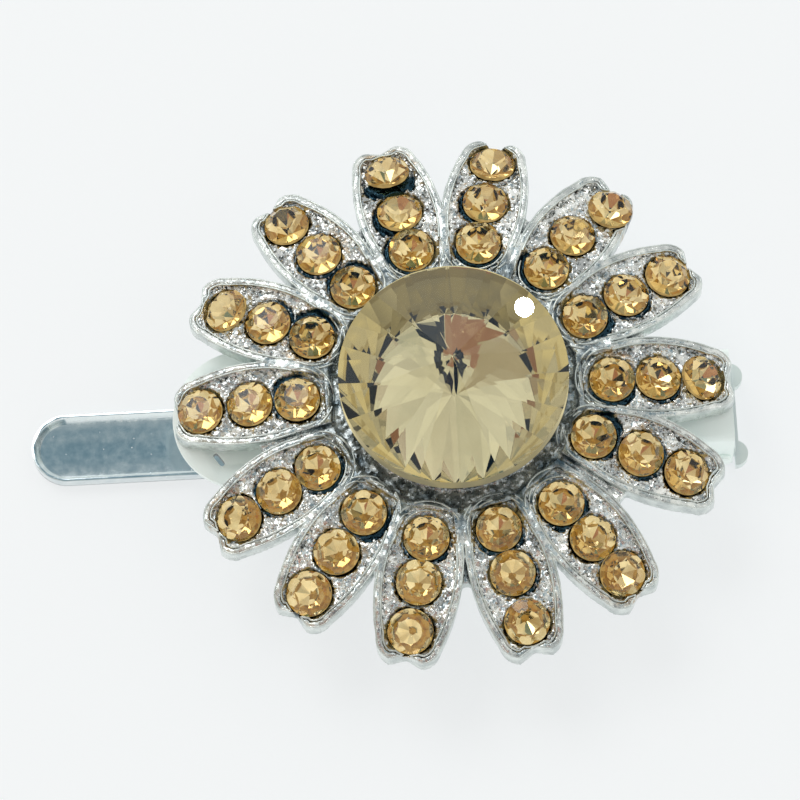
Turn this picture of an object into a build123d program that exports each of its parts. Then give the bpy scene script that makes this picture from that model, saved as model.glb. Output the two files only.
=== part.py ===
from build123d import *
import os
from collections import namedtuple
from math import atan2, cos, degrees, radians, sin, sqrt

os.makedirs("parts", exist_ok=True)

# The frame: X runs along the clip with the blade's free end at -X, Z is up.
# The origin lies on the blade's underside, below the axis of the flower.
# All lengths are in millimetres and all angles in degrees.

# Clip
blade_w = 5.1            # width of the blade
blade_h = 1.0            # height of its raised rim
blade_floor = 0.4        # sheet thickness inside the rim
blade_rim = 0.2          # flat top of the rim
blade_rim_slope = 30     # how far the inside of the rim leans out
blade_reach = 30.5       # flower axis to the free end
clip_gap = 3.7           # room for hair between blade and plate
clip_y = -0.2            # the flower sits this far off the clip's centre line
plate_t = 0.5
plate_w = 10.4           # width of the pad under the flower
nose_past_tips = 0.2     # the round nose reaches this far past the petals
pad_end = 5.0            # the pad is full width up to here
neck_end = 9.0           # and as narrow as the channel from here
rear_inside_tips = 0.1   # rear edge of the plate and its flanges, inside the petals' tips
channel_w = 7.0          # outside width over the two flanges
flange_t = 0.4
flange_lift = 0.25       # flange edge above the table
flange_slope = 3.0       # length of the flange's slanted front end
bend_r = 0.45            # outer bend between plate and flange
slot_len = 1.1           # slanted sewing slots in the nose
slot_w = 0.36
slot_from_nose = 3.2
slot_y = 3.0
slot_turn = 55

# Hinge
pin_d = 0.9
pin_z = 1.5              # pin axis above the table
pin_from_rear = 0.8      # pin axis to the plate's rear edge
pin_head_d = 1.3
pin_head_h = 0.35
head_gap = 0.02
fixed_fit = 0.02         # radial room of the pin in the flanges
running_fit = 0.05       # radial room of the pin in the ears
side_play = 0.15         # between ears and flanges
ear_t = 0.5
lug_r = 1.05             # metal round the pin in each ear
ear_top_len = 1.6        # flat top of the ear, which stops the plate
ear_foot_len = 3.4       # the foot of the ear in front of its top
ear_from_pin = 3.2       # pin axis to the rear corner of the ear's top
stop_gap = 0.08          # ear top to the plate's underside
tab_r = 0.95             # round tabs behind the hinge
tab_y = 2.95
tab_gap = 0.2            # tab to the rear edge of the plate
tab_h = 0.8
spring_wire = 0.3
spring_turns = 6
spring_pitch = 0.27      # a little less than the wire, so that the coil is closed
spring_room = 0.1        # coil to pin
spring_leg = 5.4
spring_leg_rise = 24     # upper leg, towards the plate
spring_leg_bite = 0.03   # the legs run this far inside the coil's line

# Stones
centre_d = 16.2          # large stone, pointed in front and behind
centre_front_h = 3.6
centre_girdle_h = 1.2
centre_back_h = 2.85
centre_facets = 18
centre_point_r = 0.06
stone_d = 3.2            # small round stones
stone_crown_h = 0.7
stone_girdle_h = 0.25
stone_back_h = 0.9
stone_table = 0.54       # table across flats, as a share of the diameter
stone_culet_r = 0.06
stone_facets = 8
glue = 0.05              # glue line under every stone and under the flower

# Flower
flower_turn = 1.0        # the petal nearest +X points this far off the clip
cup_floor = 2.3          # metal under the centre stone's point
cup_wall = 0.45          # wall beside the centre stone at the cup's rim
cup_rim_drop = 0.7       # cup rim below the widest part of the stone
cup_foot_spread = 0.6    # the cup widens this much down to the petals
boss_r = 4.8             # flat foot on the plate
petal_drop = 2.35        # petal edges below the middle of the centre stone
flat_r = 9.5             # the petals start to curve down here
dome_r = 28.0            # radius of that curve
root_t = 1.8
tip_t = 1.4
petals_under_stone = 0.8 # the petals start this far outside the centre stone
inner_past_stone = 3.0   # edge of the centre stone to the inner ring of stones
ring_room = 0.075        # between the stones of one petal
tip_past_ring = 2.25     # outer ring to the lobes of a petal
notch = 0.45             # depth of the notch between the lobes
lobe_y = 1.15
shoulder_past_ring = 0.95  # outer ring to the start of a petal's round end
shoulder_w = 4.6
wide_past_ring = 1.225   # middle ring to where a petal is widest
petal_w = 5.9
meet_past_ring = 1.8     # inner ring to where the raised edges of neighbours meet
web_past_meet = 1.3      # from there a lower web joins the petals up to here
web_drop = 0.6
edge_w = 0.45            # raised edge round each petal
edge_h = 0.35
seat_room = 0.2          # dark ring of room round each stone

# Each petal as it came out of the mould and was set: its turn off the even pitch,
# how far its three stones sit outwards, and how far the outer one sits sideways and
# stands up, as shares of stone_d, with the outward lean of the outer and middle stones.
Petal = namedtuple("Petal", "turn inner middle outer side proud lean middle_lean")
petals = [
    Petal(0.0, 0.08, 0.08, 0.10, 0.00, 0.00, 10, 2),
    Petal(-1.0, 0.08, 0.08, 0.12, -0.28, 0.08, 4, 0),
    Petal(1.0, -0.08, -0.03, 0.03, 0.00, 0.00, 0, 0),
    Petal(0.0, 0.04, 0.04, -0.02, 0.00, 0.04, 14, 0),
    Petal(2.0, -0.20, -0.12, -0.08, 0.00, 0.00, 0, 0),
    Petal(-1.0, 0.08, 0.08, 0.03, 0.00, 0.00, 4, 0),
    Petal(0.0, -0.08, -0.08, -0.03, 0.00, 0.00, 12, 0),
    Petal(-1.0, 0.03, 0.00, 0.03, 0.00, 0.00, 0, 0),
    Petal(0.0, 0.00, 0.03, 0.06, 0.00, 0.00, 0, 0),
    Petal(1.5, 0.03, 0.00, 0.00, 0.00, 0.00, 2, 0),
    Petal(-0.5, 0.00, 0.03, 0.12, 0.00, 0.00, -8, 0),
    Petal(0.0, -0.08, -0.04, -0.06, 0.00, 0.03, 18, 0),
    Petal(0.0, -0.15, -0.03, 0.03, 0.00, 0.00, 0, 0),
    Petal(-1.0, 0.00, -0.05, 0.00, 0.00, 0.10, 12, 9),
]
first_petal = 3          # this row of the table is the petal nearest +X

# Radii worked out from the sizes above
base_r = centre_d / 2 + petals_under_stone
ring_inner = centre_d / 2 + inner_past_stone
ring_middle = ring_inner + stone_d + ring_room
ring_outer = ring_middle + stone_d + ring_room
meet_r = ring_inner + meet_past_ring
web_r = meet_r + web_past_meet
petal_r = ring_middle + wide_past_ring
shoulder_r = ring_outer + shoulder_past_ring
tip_r = ring_outer + tip_past_ring
plate_nose = tip_r + nose_past_tips
rear_x = tip_r - rear_inside_tips

# Heights and places worked out from the sizes above
plate_under = blade_h + clip_gap
plate_top = plate_under + plate_t
foot_z = plate_top + glue
centre_point_z = foot_z + cup_floor + glue
centre_back_z = centre_point_z + centre_back_h
centre_mid_z = centre_back_z + centre_girdle_h / 2
petal_z = centre_mid_z - petal_drop
pin_x = rear_x - pin_from_rear
flange_in = channel_w / 2 - flange_t
ear_out = flange_in - side_play
over = 1.0               # cutting tools reach this far past what they cut
far_r = tip_r + over


def dome_z(r):
    """Height of the petal edges at radius r."""
    return petal_z - dome_r + sqrt(dome_r**2 - max(r - flat_r, 0) ** 2)


def dome_slope(r):
    """Downward slope of the petals at radius r."""
    return degrees(atan2(max(r - flat_r, 0), sqrt(dome_r**2 - max(r - flat_r, 0) ** 2)))


def petal_angle(index):
    """Direction of a petal, counted clockwise from the top of the flower."""
    pitch = 360 / len(petals)
    return flower_turn + petals[index].turn + (first_petal - index) * pitch


def seat(angle, r, side, proud, lean):
    """Place of a stone: its widest plane, with Z along the stone's axis."""
    a = radians(angle)
    slope = dome_slope(r) + lean
    x = r * cos(a) - side * sin(a)
    y = r * sin(a) + side * cos(a)
    place = Location((x, y, dome_z(r) - edge_h + proud))
    return place * Location((0, 0, 0), (0, 0, angle)) * Location((0, 0, 0), (0, slope, 0))


seats = {}
for number, row in enumerate(petals):
    heading = petal_angle(number)
    shift = [share * stone_d for share in (row.inner, row.middle, row.outer)]
    name = f"stone_{number + 1:02d}"
    seats[name + "_inner"] = seat(heading, ring_inner + shift[0], 0, 0, 0)
    seats[name + "_middle"] = seat(heading, ring_middle + shift[1], 0, 0, row.middle_lean)
    seats[name + "_outer"] = seat(
        heading, ring_outer + shift[2], row.side * stone_d, row.proud * stone_d, row.lean
    )


def save(piece, label):
    """Name a finished piece and write it."""
    piece.part.label = label
    export_step(piece.part, f"parts/{label}.step")


# Small stone: table, 8 crown facets, a 16-sided girdle and 8 back facets
with BuildPart() as chaton:
    with BuildSketch(Plane.XY.offset(stone_girdle_h / 2)):
        RegularPolygon(stone_d / 2, stone_facets, major_radius=False)
    with BuildSketch(Plane.XY.offset(stone_girdle_h / 2 + stone_crown_h)):
        RegularPolygon(stone_table * stone_d / 2, stone_facets, major_radius=False)
    loft(ruled=True)
    with BuildSketch(Plane.XY.offset(-stone_girdle_h / 2)):
        RegularPolygon(stone_d / 2, stone_facets, major_radius=False)
    extrude(amount=stone_girdle_h)
    with BuildSketch(Plane.XY.offset(-stone_girdle_h / 2)):
        RegularPolygon(stone_d / 2, stone_facets, major_radius=False)
    with BuildSketch(Plane.XY.offset(-stone_girdle_h / 2 - stone_back_h)):
        RegularPolygon(stone_culet_r, stone_facets, major_radius=False)
    loft(ruled=True)
    with BuildSketch(Plane.XY.offset(-stone_girdle_h / 2 - stone_back_h)):
        RegularPolygon(stone_d / 2, 2 * stone_facets)
    extrude(amount=stone_girdle_h + stone_back_h + stone_crown_h, mode=Mode.INTERSECT)

for name, place in seats.items():
    with BuildPart() as stone:
        with Locations(place):
            add(chaton.part)
    save(stone, name)

# Large centre stone, pointed in front and behind
with BuildPart() as centre_stone:
    with BuildSketch(Plane.XY.offset(centre_back_z)):
        RegularPolygon(centre_d / 2, centre_facets, major_radius=False)
    extrude(amount=centre_girdle_h)
    with BuildSketch(Plane.XY.offset(centre_back_z + centre_girdle_h)):
        RegularPolygon(centre_d / 2, centre_facets, major_radius=False)
    with BuildSketch(Plane.XY.offset(centre_back_z + centre_girdle_h + centre_front_h)):
        RegularPolygon(centre_point_r, centre_facets, major_radius=False)
    loft(ruled=True)
    with BuildSketch(Plane.XY.offset(centre_back_z)):
        RegularPolygon(centre_d / 2, centre_facets, major_radius=False)
    with BuildSketch(Plane.XY.offset(centre_point_z)):
        RegularPolygon(centre_point_r, centre_facets, major_radius=False)
    loft(ruled=True)
    with BuildSketch(Plane.XY.offset(centre_point_z)):
        RegularPolygon(centre_d / 2, 2 * centre_facets)
    extrude(amount=centre_back_h + centre_girdle_h + centre_front_h, mode=Mode.INTERSECT)
save(centre_stone, "centre_stone")


def petal_face(inset):
    """One petal seen from above, pointing along +X, with its outline moved in by inset."""
    half_pitch = radians(180 / len(petals))
    root = (base_r * cos(half_pitch) + inset, base_r * sin(half_pitch) - inset)
    meet = (meet_r * cos(half_pitch), meet_r * sin(half_pitch) - inset)
    shoulder = (shoulder_r - inset / 2, shoulder_w / 2 - inset)
    lobe = (tip_r - inset, lobe_y)
    corner = ((shoulder[0] + 2 * lobe[0]) / 3, (2 * shoulder[1] + lobe[1]) / 3)
    with BuildSketch() as face:
        with BuildLine():
            Polyline((root[0], 0), root, meet)
            ThreePointArc(meet, (petal_r, petal_w / 2 - inset), shoulder)
            ThreePointArc(shoulder, corner, lobe)
            Line(lobe, (tip_r - notch - inset, 0))
            mirror(about=Plane.XZ)
        make_face()
    return face.sketch


petal = petal_face(0)
petal_floor = petal_face(edge_w)


def dome_arc(r_in, r_out, drop_in, drop_middle, drop_out):
    """Arc below the petals' curved top, from r_in to r_out, in the XZ plane."""
    r_middle = (r_in + r_out) / 2
    return ThreePointArc(
        (r_in, dome_z(r_in) - drop_in),
        (r_middle, dome_z(r_middle) - drop_middle),
        (r_out, dome_z(r_out) - drop_out),
    )


def dome_ring(top_drop):
    """Half section of the petals' shell from the foot to past the tips, with a lowered top."""
    with BuildSketch(Plane.XZ) as ring:
        with BuildLine():
            under = dome_arc(flat_r, far_r, root_t, (root_t + tip_t) / 2, tip_t)
            top = dome_arc(flat_r, far_r, top_drop, top_drop, top_drop)
            Line(under @ 1, top @ 1)
            Polyline(top @ 0, (boss_r, petal_z - top_drop), (boss_r, foot_z), under @ 0)
        make_face()
    return ring.sketch


# All that lies above the petals' floors, inside their raised edges
with BuildPart() as above_floor:
    with BuildSketch(Plane.XZ):
        with BuildLine():
            floor = dome_arc(flat_r, far_r, edge_h, edge_h, edge_h)
            far = floor @ 1
            above = petal_z + over
            Polyline(far, (far_r, above), (boss_r, above), (boss_r, petal_z - edge_h), floor @ 0)
        make_face()
    revolve(axis=Axis.Z)
    with BuildSketch():
        for number in range(len(petals)):
            add(petal_floor, rotation=petal_angle(number))
    extrude(amount=petal_z + over, mode=Mode.INTERSECT)

# The petals with their raised edges
with BuildPart() as petal_ring:
    add(dome_ring(0))
    revolve(axis=Axis.Z)
    with BuildSketch():
        for number in range(len(petals)):
            add(petal, rotation=petal_angle(number))
    extrude(amount=petal_z + over, mode=Mode.INTERSECT)
    add(above_floor.part, mode=Mode.SUBTRACT)

# Cast flower: foot, cup and web, with the petals on them and the stones' seats in them
cup_slope = centre_back_h / (centre_d / 2 / cos(radians(180 / centre_facets)))
cup_top_z = centre_back_z - cup_rim_drop
cup_in_r = (cup_top_z - centre_point_z + glue) / cup_slope
cup_out_r = cup_in_r + cup_wall
seat_back_r = stone_d / 2 / cos(radians(180 / stone_facets))
with BuildPart() as flower:
    add(dome_ring(web_drop))
    with BuildSketch(Plane.XZ):
        Polygon(
            (0, foot_z),
            (boss_r, foot_z),
            (cup_out_r + cup_foot_spread, petal_z - web_drop),
            (cup_out_r, cup_top_z),
            (cup_in_r, cup_top_z),
            (0, centre_point_z - glue),
            align=None,
        )
    revolve(axis=Axis.Z)
    with BuildSketch():
        Circle(web_r)
    extrude(amount=centre_mid_z, mode=Mode.INTERSECT)
    add(petal_ring.part)
    with BuildSketch(Plane.XZ):
        Polygon(
            (0, centre_point_z - glue),
            (cup_in_r, cup_top_z),
            (cup_in_r, centre_mid_z),
            (0, centre_mid_z),
            align=None,
        )
    revolve(axis=Axis.Z, mode=Mode.SUBTRACT)
    with Locations(*seats.values()):
        with Locations((0, 0, -stone_girdle_h / 2)):
            Cylinder(
                stone_d / 2 + seat_room,
                stone_girdle_h + edge_h + over,
                align=(Align.CENTER, Align.CENTER, Align.MIN),
                mode=Mode.SUBTRACT,
            )
        with Locations((0, 0, -stone_girdle_h / 2 - stone_back_h - glue)):
            Cone(
                stone_culet_r,
                seat_back_r,
                stone_back_h + glue,
                align=(Align.CENTER, Align.CENTER, Align.MIN),
                mode=Mode.SUBTRACT,
            )
save(flower, "flower_casting")

# Back plate: a pad with a round nose, and a channel at the hinge
with BuildPart() as back_plate:
    with BuildSketch(Plane.XY.offset(plate_under)):
        with BuildLine():
            nose_x = plate_w / 2 - plate_nose
            Polyline(
                (nose_x, clip_y + plate_w / 2),
                (pad_end, clip_y + plate_w / 2),
                (neck_end, clip_y + channel_w / 2),
                (rear_x, clip_y + channel_w / 2),
                (rear_x, clip_y - channel_w / 2),
                (neck_end, clip_y - channel_w / 2),
                (pad_end, clip_y - plate_w / 2),
                (nose_x, clip_y - plate_w / 2),
            )
            ThreePointArc(
                (nose_x, clip_y - plate_w / 2), (-plate_nose, clip_y), (nose_x, clip_y + plate_w / 2)
            )
        make_face()
    extrude(amount=plate_t)
    for side in (1, -1):
        with BuildSketch(Plane.XZ.offset(-clip_y - side * channel_w / 2)):
            Polygon(
                (neck_end, plate_top),
                (rear_x, plate_top),
                (rear_x, flange_lift),
                (neck_end + flange_slope, flange_lift),
                (neck_end, plate_under),
                align=None,
            )
        extrude(amount=side * flange_t)
    bends = back_plate.edges().filter_by(Axis.X).group_by(Axis.Z)[-1]
    fillet([bend for bend in bends if bend.center().X > neck_end], bend_r)
    for side in (1, -1):
        with BuildSketch(Plane.XY.offset(plate_under)):
            with Locations((slot_from_nose - plate_nose, clip_y + side * slot_y)):
                SlotOverall(slot_len, slot_w, rotation=side * slot_turn)
        extrude(amount=plate_t, mode=Mode.SUBTRACT)
    with Locations(Location((pin_x, clip_y, pin_z), (90, 0, 0))):
        Cylinder(pin_d / 2 + fixed_fit, channel_w + over, mode=Mode.SUBTRACT)
save(back_plate, "back_plate")

# Blade: a shallow tray with a round end, two ears on the pin and two round tabs
blade_round_x = blade_w / 2 - blade_reach
with BuildPart() as blade:
    with BuildSketch():
        with Locations((blade_round_x, clip_y)):
            Rectangle(pin_x - blade_round_x, blade_w, align=(Align.MIN, Align.CENTER))
            Circle(blade_w / 2)
    extrude(amount=blade_h)
    with BuildSketch(Plane.XY.offset(blade_h)):
        with Locations((blade_round_x, clip_y)):
            Rectangle(rear_x - blade_round_x, blade_w - 2 * blade_rim, align=(Align.MIN, Align.CENTER))
            Circle(blade_w / 2 - blade_rim)
    extrude(amount=blade_floor - blade_h, taper=blade_rim_slope, mode=Mode.SUBTRACT)
    ear_top_x = pin_x - ear_from_pin
    ear_front_x = ear_top_x - ear_top_len - ear_foot_len
    tab_x = rear_x + tab_gap
    with BuildSketch():
        with Locations((ear_front_x, clip_y)):
            Rectangle(tab_x - ear_front_x, 2 * ear_out, align=(Align.MIN, Align.CENTER))
    extrude(amount=blade_floor)
    for side in (1, -1):
        with BuildSketch(Plane.XZ.offset(-clip_y - side * ear_out)):
            Polygon(
                (ear_front_x, 0),
                (ear_front_x + ear_foot_len / 2, blade_h),
                (ear_top_x - ear_top_len, plate_under - stop_gap),
                (ear_top_x, plate_under - stop_gap),
                (pin_x, pin_z + lug_r),
                (pin_x, 0),
                align=None,
            )
            with Locations((pin_x, pin_z)):
                Circle(lug_r)
                Rectangle(2 * lug_r, pin_z, align=(Align.CENTER, Align.MAX))
        extrude(amount=side * ear_t)
    with BuildSketch(Plane.XY):
        with Locations((tab_x, clip_y)):
            Rectangle(tab_r / 3, 2 * tab_y, align=(Align.MIN, Align.CENTER))
        with Locations(*[(tab_x, clip_y + side * tab_y) for side in (1, -1)]):
            Circle(tab_r)
        with Locations((tab_x, clip_y)):
            Rectangle(2 * tab_r, 4 * tab_y, align=(Align.MAX, Align.CENTER), mode=Mode.SUBTRACT)
    extrude(amount=tab_h)
    with Locations(Location((pin_x, clip_y, pin_z), (90, 0, 0))):
        Cylinder(pin_d / 2 + running_fit, 2 * ear_out + over, mode=Mode.SUBTRACT)
save(blade, "blade")

# Hinge pin with a round head outside each flange
with BuildPart() as hinge_pin:
    with BuildSketch(Plane.YZ.offset(pin_x)):
        with BuildLine():
            head_in = channel_w / 2 + head_gap
            head_out = head_in + pin_head_h
            Polyline(
                (clip_y - head_out, pin_z),
                (clip_y - head_out, pin_z + pin_head_d / 2),
                (clip_y - head_in, pin_z + pin_head_d / 2),
                (clip_y - head_in, pin_z + pin_d / 2),
                (clip_y + head_in, pin_z + pin_d / 2),
                (clip_y + head_in, pin_z + pin_head_d / 2),
                (clip_y + head_out, pin_z + pin_head_d / 2),
                (clip_y + head_out, pin_z),
                close=True,
            )
        make_face()
    revolve(axis=Axis((pin_x, clip_y, pin_z), (0, 1, 0)))
save(hinge_pin, "hinge_pin")

# Spring: a closed coil on the pin, one leg along the blade and one up to the plate
coil_r = pin_d / 2 + spring_room + spring_wire / 2
coil_half = (spring_turns - 1) * spring_pitch / 2
with BuildPart() as spring:
    with Locations(
        *[
            Location((pin_x, clip_y - coil_half + turn * spring_pitch, pin_z), (90, 0, 0))
            for turn in range(spring_turns)
        ]
    ):
        Torus(coil_r, spring_wire / 2)
    leg_r = coil_r - spring_leg_bite
    for y, rise, level in ((-coil_half, 0, -leg_r), (coil_half, spring_leg_rise, leg_r)):
        coil_end = Location((pin_x, clip_y + y, pin_z), (0, rise, 0))
        with Locations(coil_end * Location((0, 0, level), (0, -90, 0))):
            Cylinder(spring_wire / 2, spring_leg, align=(Align.CENTER, Align.CENTER, Align.MIN))
save(spring, "spring")
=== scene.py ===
import random
from math import atan2, cos, pi, radians, sin, sqrt

import bmesh
import bpy
from mathutils import Matrix, Vector, noise
from mathutils.bvhtree import BVHTree


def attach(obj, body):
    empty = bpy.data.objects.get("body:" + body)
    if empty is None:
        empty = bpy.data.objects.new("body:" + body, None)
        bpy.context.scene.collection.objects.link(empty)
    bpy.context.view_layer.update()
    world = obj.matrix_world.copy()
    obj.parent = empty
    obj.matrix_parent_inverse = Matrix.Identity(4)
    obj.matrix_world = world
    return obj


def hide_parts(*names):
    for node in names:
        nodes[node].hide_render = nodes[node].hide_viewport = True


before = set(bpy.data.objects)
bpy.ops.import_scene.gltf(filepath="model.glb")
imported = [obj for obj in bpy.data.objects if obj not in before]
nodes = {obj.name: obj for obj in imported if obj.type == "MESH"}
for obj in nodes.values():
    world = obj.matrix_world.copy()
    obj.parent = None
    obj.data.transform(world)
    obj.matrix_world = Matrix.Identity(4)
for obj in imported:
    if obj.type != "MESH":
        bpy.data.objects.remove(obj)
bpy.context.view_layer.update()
mm = 0.001
flowerSide = "flower_side"  # the body that lifts
bladeSide = "blade_side"  # the body that lies on the table


# Small helpers

def objectFrom(bm, name, materials):
    mesh = bpy.data.meshes.new(name)
    bm.normal_update()
    bm.to_mesh(mesh)
    bm.free()
    for material in materials:
        mesh.materials.append(material)
    piece = bpy.data.objects.new(name, mesh)
    bpy.context.scene.collection.objects.link(piece)
    return piece


def place(piece, body, slot, *replaced):
    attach(piece, body)
    if replaced:
        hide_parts(*replaced)


def mergedCopy(nodeName):
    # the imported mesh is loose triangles, so its copy is merged first
    bm = bmesh.new()
    bm.from_mesh(nodes[nodeName].data)
    bmesh.ops.remove_doubles(bm, verts=bm.verts[:], dist=1e-6)
    return bm


def applyModifiers(piece):
    graph = bpy.context.evaluated_depsgraph_get()
    mesh = bpy.data.meshes.new_from_object(piece.evaluated_get(graph))
    piece.modifiers.clear()
    piece.data = mesh


def heading(azimuth, elevation):
    a, e = radians(azimuth), radians(elevation)
    return Vector((cos(e) * cos(a), cos(e) * sin(a), sin(e)))


def newMaterial(name):
    material = bpy.data.materials.new(name)
    material.use_nodes = True
    tree = material.node_tree
    return material, tree, tree.nodes["Principled BSDF"]


def addNode(tree, kind, links=(), **values):
    # values sets sockets or properties; links joins outputs to inputs by name or number
    node = tree.nodes.new(kind)
    for key, value in values.items():
        if key in node.inputs:
            node.inputs[key].default_value = value
        else:
            setattr(node, key, value)
    for output, socket in links:
        tree.links.new(output, node.inputs[socket])
    return node


def mapRange(tree, source, fromMin, fromMax, toMin, toMax):
    node = addNode(tree, "ShaderNodeMapRange", [(source, "Value")])
    ends = {"From Min": fromMin, "From Max": fromMax, "To Min": toMin, "To Max": toMax}
    for socket, value in ends.items():
        node.inputs[socket].default_value = value
    return node.outputs["Result"]


def mixColor(tree, factor, first, second):
    # first and second are outputs or plain colours
    node = addNode(tree, "ShaderNodeMix", data_type="RGBA")
    tree.links.new(factor, node.inputs[0])
    for value, socket in ((first, 6), (second, 7)):
        if isinstance(value, tuple):
            node.inputs[socket].default_value = value
        else:
            tree.links.new(value, node.inputs[socket])
    return node.outputs[2]


def ramp(tree, source, low, high, lowColor, highColor):
    node = addNode(tree, "ShaderNodeValToRGB", [(source, "Fac")])
    node.color_ramp.elements[0].position = low
    node.color_ramp.elements[0].color = lowColor
    node.color_ramp.elements[1].position = high
    node.color_ramp.elements[1].color = highColor
    return node.outputs["Color"]


# The camera stands where the photograph was taken

view = {
    "elevation": 69.8,
    "roll": 3.0,
    "distance": 350 * mm,
    "width": 56.16 * mm,  # what 800 pixels span at the large stone
    "right": -3.76 * mm,  # the picture's centre, seen from the large stone
    "up": -1.58 * mm,
    "stoneHeight": 10.85 * mm,
}


def makeCamera():
    e = radians(view["elevation"])
    right = Vector((1, 0, 0))
    up = Vector((0, sin(e), cos(e)))
    back = right.cross(up)
    turn = Matrix.Rotation(-radians(view["roll"]), 3, back)
    right, up = turn @ right, turn @ up
    target = Vector((0, 0, view["stoneHeight"])) + right * view["right"] + up * view["up"]
    data = bpy.data.cameras.new("camera")
    data.sensor_width = 36
    data.lens = data.sensor_width * view["distance"] / view["width"]
    data.clip_start = 0.01
    camera = bpy.data.objects.new("camera", data)
    spot = target + back * view["distance"]
    camera.matrix_world = Matrix((
        (right.x, up.x, back.x, spot.x),
        (right.y, up.y, back.y, spot.y),
        (right.z, up.z, back.z, spot.z),
        (0, 0, 0, 1),
    ))
    bpy.context.scene.collection.objects.link(camera)
    bpy.context.scene.camera = camera
    bpy.context.scene.view_settings.view_transform = "Standard"


makeCamera()
print("camera placed")


# Floor, lamps and the pale room

studio = {
    "floorSize": 3.0,
    "floorColor": (0.33, 0.335, 0.335, 1),
    "floorRoughness": 0.75,
    "floorSpecular": 0.2,
    "floorGlow": (0.90, 0.925, 0.94, 1),  # the paper is lit from behind too
    "glowStrength": 0.70,
    "roomStrength": 0.95,
    "horizon": (1.0, 1.01, 0.995, 1),
    "ceiling": (0.88, 0.875, 0.83, 1),
    "rise": (0.35, 0.95),  # where the walls turn into the ceiling
    "mottle": (0.76, 1.14),  # how much the room's brightness varies
    "mottleScale": 4.0,
    "lamps": (
        # name, direction, distance, size, power
        ("window", (125, 52), 0.9, 0.5, 1.6),
        ("glint", (57, 27.1), 0.4, 0.0030, 0.0035),
        ("bulb_left", (160, 40), 0.5, 0.012, 0.02),
        ("bulb_front", (250, 66), 0.5, 0.010, 0.012),
        ("bulb_right", (330, 48), 0.5, 0.010, 0.012),
        ("bulb_back", (95, 40), 0.6, 0.012, 0.02),
    ),
    "glintFrom": (5.35 * mm, 4.6 * mm, 12.1 * mm),  # where the large stone catches the lamp
    "patches": (
        # direction, near and far edge, colour: what stood about the photographer
        ((90, 70), 0.20, 0.50, (0.178, 0.28, 0.335, 1)),
        ((195, 36), 0.30, 0.55, (0.52, 0.46, 0.37, 1)),
        ((247, 46), 0.29, 0.33, (0.42, 0.23, 0.18, 1)),
        ((320, 30), 0.12, 0.35, (0.55, 0.58, 0.56, 1)),
        ((125, 25), 0.05, 0.22, (0.50, 0.52, 0.53, 1)),
        ((60, 30), 0.05, 0.20, (0.42, 0.44, 0.46, 1)),
    ),
    # a dark upright thing: direction, half its width with and without its soft edge, colour
    "stripe": (289, 0.12, 0.14, (0.012, 0.028, 0.07, 1)),
    "stripeStart": (0.14, 0.18),
    "stripeEnd": (0.76, 0.82),
}


def skyPatch(tree, vector, color, direction, near, far, tint):
    gap = addNode(tree, "ShaderNodeVectorMath", [(vector, 0)], operation="DISTANCE")
    gap.inputs[1].default_value = heading(*direction)
    return mixColor(tree, mapRange(tree, gap.outputs["Value"], near, far, 1, 0), color, tint)


def skyStripe(tree, vector, color, azimuth, near, far, tint):
    # narrow across its direction, long along it
    across = addNode(tree, "ShaderNodeVectorMath", [(vector, 0)], operation="DOT_PRODUCT")
    across.inputs[1].default_value = heading(azimuth + 90, 0)
    off = addNode(tree, "ShaderNodeMath", [(across.outputs["Value"], 0)], operation="ABSOLUTE")
    along = addNode(tree, "ShaderNodeVectorMath", [(vector, 0)], operation="DOT_PRODUCT")
    along.inputs[1].default_value = heading(azimuth, 0)
    narrow = mapRange(tree, off.outputs[0], near, far, 1, 0)
    start = mapRange(tree, along.outputs["Value"], *studio["stripeStart"], 0, 1)
    end = mapRange(tree, along.outputs["Value"], *studio["stripeEnd"], 1, 0)
    part = addNode(tree, "ShaderNodeMath", [(narrow, 0), (start, 1)], operation="MULTIPLY")
    whole = addNode(tree, "ShaderNodeMath", [(part.outputs[0], 0), (end, 1)], operation="MULTIPLY")
    return mixColor(tree, whole.outputs[0], color, tint)


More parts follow.
